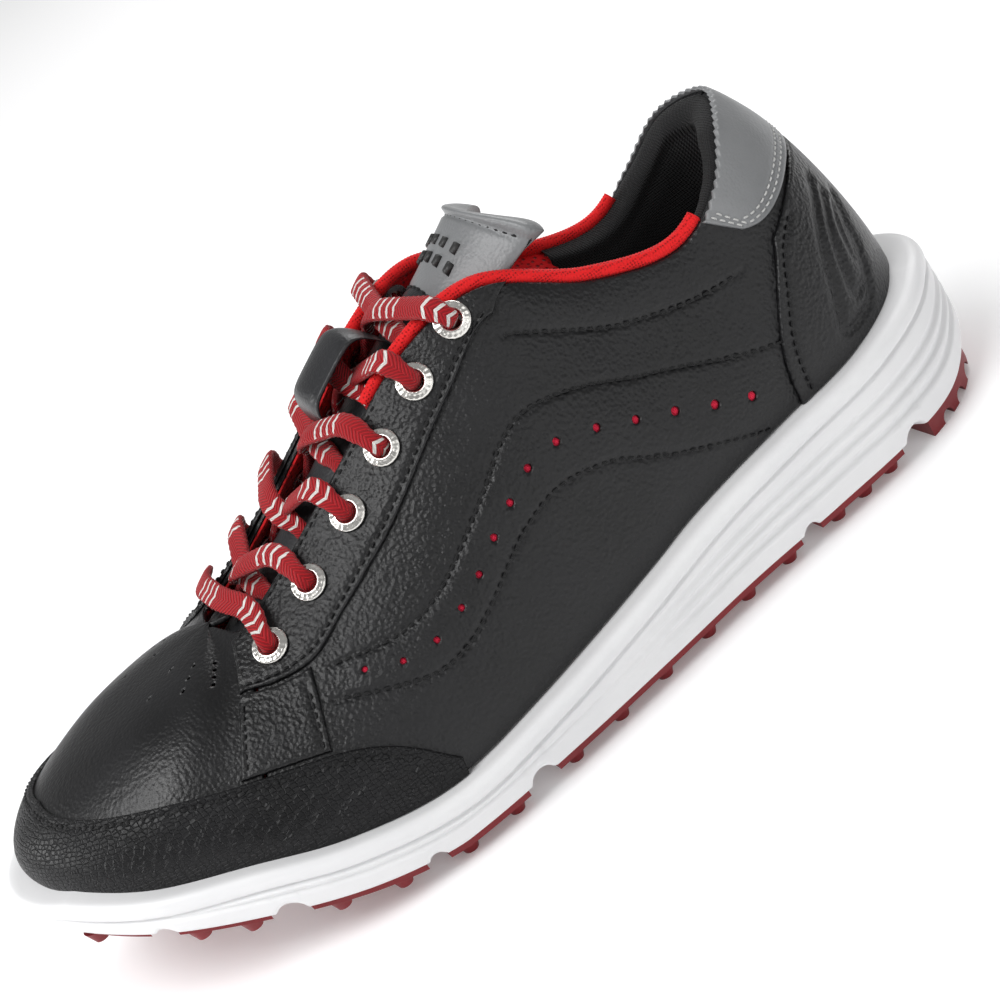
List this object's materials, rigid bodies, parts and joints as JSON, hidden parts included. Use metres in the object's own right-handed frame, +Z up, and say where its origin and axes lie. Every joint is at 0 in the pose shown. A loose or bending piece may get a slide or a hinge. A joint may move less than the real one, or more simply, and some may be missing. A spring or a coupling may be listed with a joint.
{
  "type": "golf shoe",
  "caption": "Left low-top lace-up golf shoe with a leather upper, padded collar, padded tongue, white cupped midsole and separate red rubber pods with moulded lugs.",
  "frame": {"origin": "on the ground under the middle of the shoe's own box", "axes": "+X towards the heel, so the toe points along -X; -Y towards the outer (lateral) side of this left shoe; +Z up"},
  "size_m": [0.2966, 0.1158, 0.114],
  "materials": {
    "black_leather": "grained, semi-gloss",
    "textured_leather": "fine moulded scale grain",
    "grey_leather": "smooth with a soft metallic sheen",
    "red_mesh": "knitted air mesh",
    "red_textile": "plain woven backing",
    "red_binding": "knitted tape",
    "black_textile": "brushed lining",
    "lace": "flat braid",
    "webbing": "woven",
    "foam": "open-cell foam",
    "stiffener": "thermoplastic sheet",
    "midsole_white": "moulded foam, satin",
    "outsole_red": "moulded rubber",
    "shank_steel": "plain",
    "board": "pressed fibre",
    "sockliner_black": "textile over foam",
    "eyelet_nickel": "bright, knurled",
    "aglet": "clear film over braid"
  },
  "bodies": {
    "shoe": {"aglets": "aglet", "collar_binding_lateral": "red_binding", "collar_binding_medial": "red_binding", "collar_foam": "foam", "eyelet_washers_lateral": "eyelet_nickel", "eyelet_washers_medial": "eyelet_nickel", "eyelets_lateral": "eyelet_nickel", "eyelets_medial": "eyelet_nickel", "eyestay_lateral": "black_leather", "eyestay_medial": "black_leather", "forefoot_lining": "red_mesh", "heel_counter": "stiffener", "heel_cover": "black_leather", "heel_lining": "black_textile", "heel_tab": "grey_leather", "insole_board": "board", "lace": "lace", "midsole": "midsole_white", "outsole_arch_pod": "outsole_red", "outsole_forefoot_pod_1": "outsole_red", "outsole_forefoot_pod_2": "outsole_red", "outsole_forefoot_pod_3": "outsole_red", "outsole_heel_front_pod": "outsole_red", "outsole_heel_pod": "outsole_red", "outsole_toe_pod": "outsole_red", "perforation_backing_lateral": "red_textile", "perforation_backing_medial": "red_textile", "quarter_foam_lateral": "foam", "quarter_foam_medial": "foam", "quarter_lateral": "black_leather", "quarter_medial": "black_leather", "shank": "shank_steel", "side_panel_lateral": "black_leather", "side_panel_medial": "black_leather", "toe_guard": "textured_leather", "toe_puff": "stiffener", "vamp": "black_leather"},
    "tongue": {"lace_keeper": "webbing", "tongue_foam": "foam", "tongue_lining": "black_textile", "tongue_patch": "grey_leather", "tongue_shell": "grey_leather"},
    "sockliner": {"sockliner": "sockliner_black"}
  },
  "joints": [
    {"name": "tongue_press", "type": "hinge", "parent": "shoe", "child": "tongue", "pos_m": [-0.0702, 0.00165, 0.062], "axis": [0, 1, 0], "range_deg": [0, 0.8], "stiffness_Nm_per_rad": 0.4},
    {"name": "sockliner_lift", "type": "hinge", "parent": "shoe", "child": "sockliner", "pos_m": [-0.128, 0.004, 0.0415], "axis": [0, -1, 0], "range_deg": [0, 2]}
  ]
}
